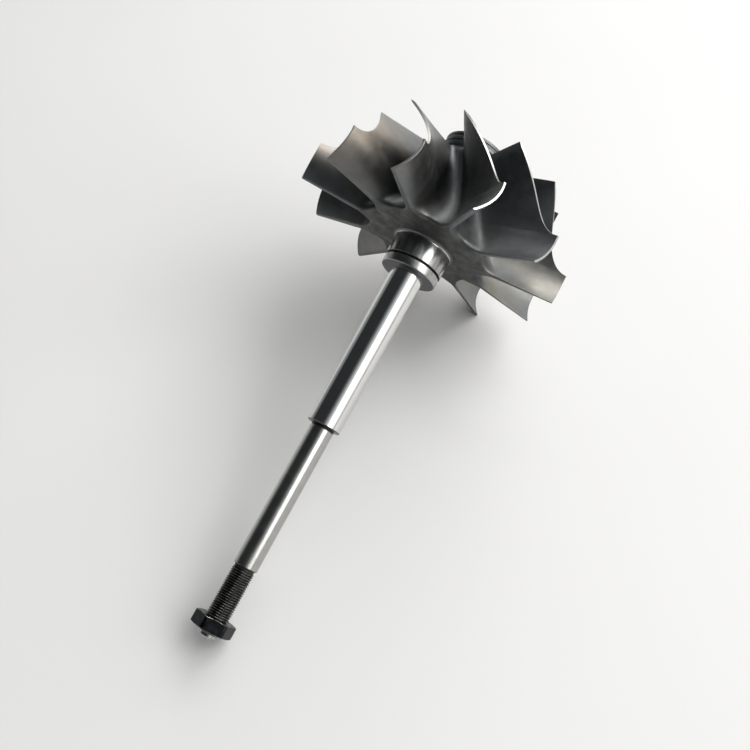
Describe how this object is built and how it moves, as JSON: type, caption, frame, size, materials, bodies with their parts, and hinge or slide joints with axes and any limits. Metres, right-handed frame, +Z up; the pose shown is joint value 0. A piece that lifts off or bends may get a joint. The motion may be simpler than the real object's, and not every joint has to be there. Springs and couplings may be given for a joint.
{
  "type": "turbocharger turbine rotor",
  "caption": "Radial turbocharger turbine wheel with its shaft and a hexagon nut on the threaded end, lying on its blade tips and nut.",
  "frame": {"origin": "on the floor, in the middle of the rotor's footprint, with the rotor lying on two blade tips and its nut", "axes": "+Z up; +Y towards the turbine wheel, with the shaft's axis in a plane along Y and sloping 15.1 degrees down to the nut"},
  "size_m": [0.122, 0.2352, 0.1202],
  "materials": {
    "cast_alloy": "satin dark nickel alloy casting, bright ground blade edges",
    "ground_steel": "mirror ground steel",
    "blackened_steel": "black oxide"
  },
  "bodies": {
    "rotor": {"wheel_hub": "cast_alloy", "blade_01": "cast_alloy", "blade_02": "cast_alloy", "blade_03": "cast_alloy", "blade_04": "cast_alloy", "blade_05": "cast_alloy", "blade_06": "cast_alloy", "blade_07": "cast_alloy", "blade_08": "cast_alloy", "blade_09": "cast_alloy", "blade_10": "cast_alloy", "blade_11": "cast_alloy", "rotor_shaft": "ground_steel"},
    "nut": {"shaft_nut": "blackened_steel"}
  },
  "joints": [
    {"name": "nut_turn", "type": "hinge", "parent": "rotor", "child": "nut", "pos_m": [0.00024, -0.11145, 0.00974], "axis": [0, 0.9655, 0.2605], "range_deg": [-180, 180]}
  ]
}
